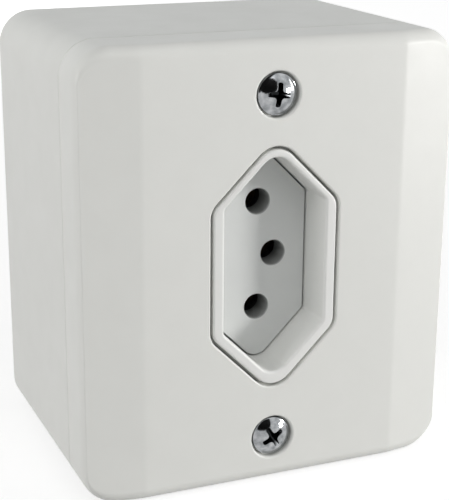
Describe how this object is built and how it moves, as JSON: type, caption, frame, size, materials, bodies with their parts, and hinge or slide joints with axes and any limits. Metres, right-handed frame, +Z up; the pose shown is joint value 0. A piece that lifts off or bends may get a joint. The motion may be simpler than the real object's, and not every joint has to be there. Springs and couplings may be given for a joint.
{
  "type": "single wall socket",
  "caption": "Single wall socket for round-pin plugs: faceted white cover with a hexagonal recess and pin holes, on its own box fixed to the wall's surface.",
  "frame": {"origin": "centre of the box's wall face, on the wall's plane", "axes": "+Z up, +X to the right of a person facing the socket, +Y out of the box's back into the wall; the face looks along -Y"},
  "size_m": [0.0676, 0.0495, 0.0776],
  "materials": {
    "white_plastic": "off-white moulded plastic with a soft gloss",
    "recess_floor_plastic": "slightly greyer moulded plastic",
    "block_plastic": "dark grey moulded insulating plastic",
    "formed_brass": "bare brass, rolled and pressed",
    "plated_steel": "bright zinc or nickel plating"
  },
  "bodies": {
    "root": {"back_box": "white_plastic", "contact_block": "block_plastic", "earth_contact": "formed_brass", "earth_terminal": "formed_brass", "earth_terminal_screw": "plated_steel", "front_cover": "white_plastic", "left_module_screw": "plated_steel", "line_contact": "formed_brass", "line_terminal": "formed_brass", "line_terminal_screw": "plated_steel", "lower_captive_nut": "plated_steel", "lower_cover_screw": "plated_steel", "neutral_contact": "formed_brass", "neutral_terminal": "formed_brass", "neutral_terminal_screw": "plated_steel", "right_module_screw": "plated_steel", "socket_collar": "white_plastic", "socket_face": "recess_floor_plastic", "upper_captive_nut": "plated_steel", "upper_cover_screw": "plated_steel"}
  },
  "joints": []
}
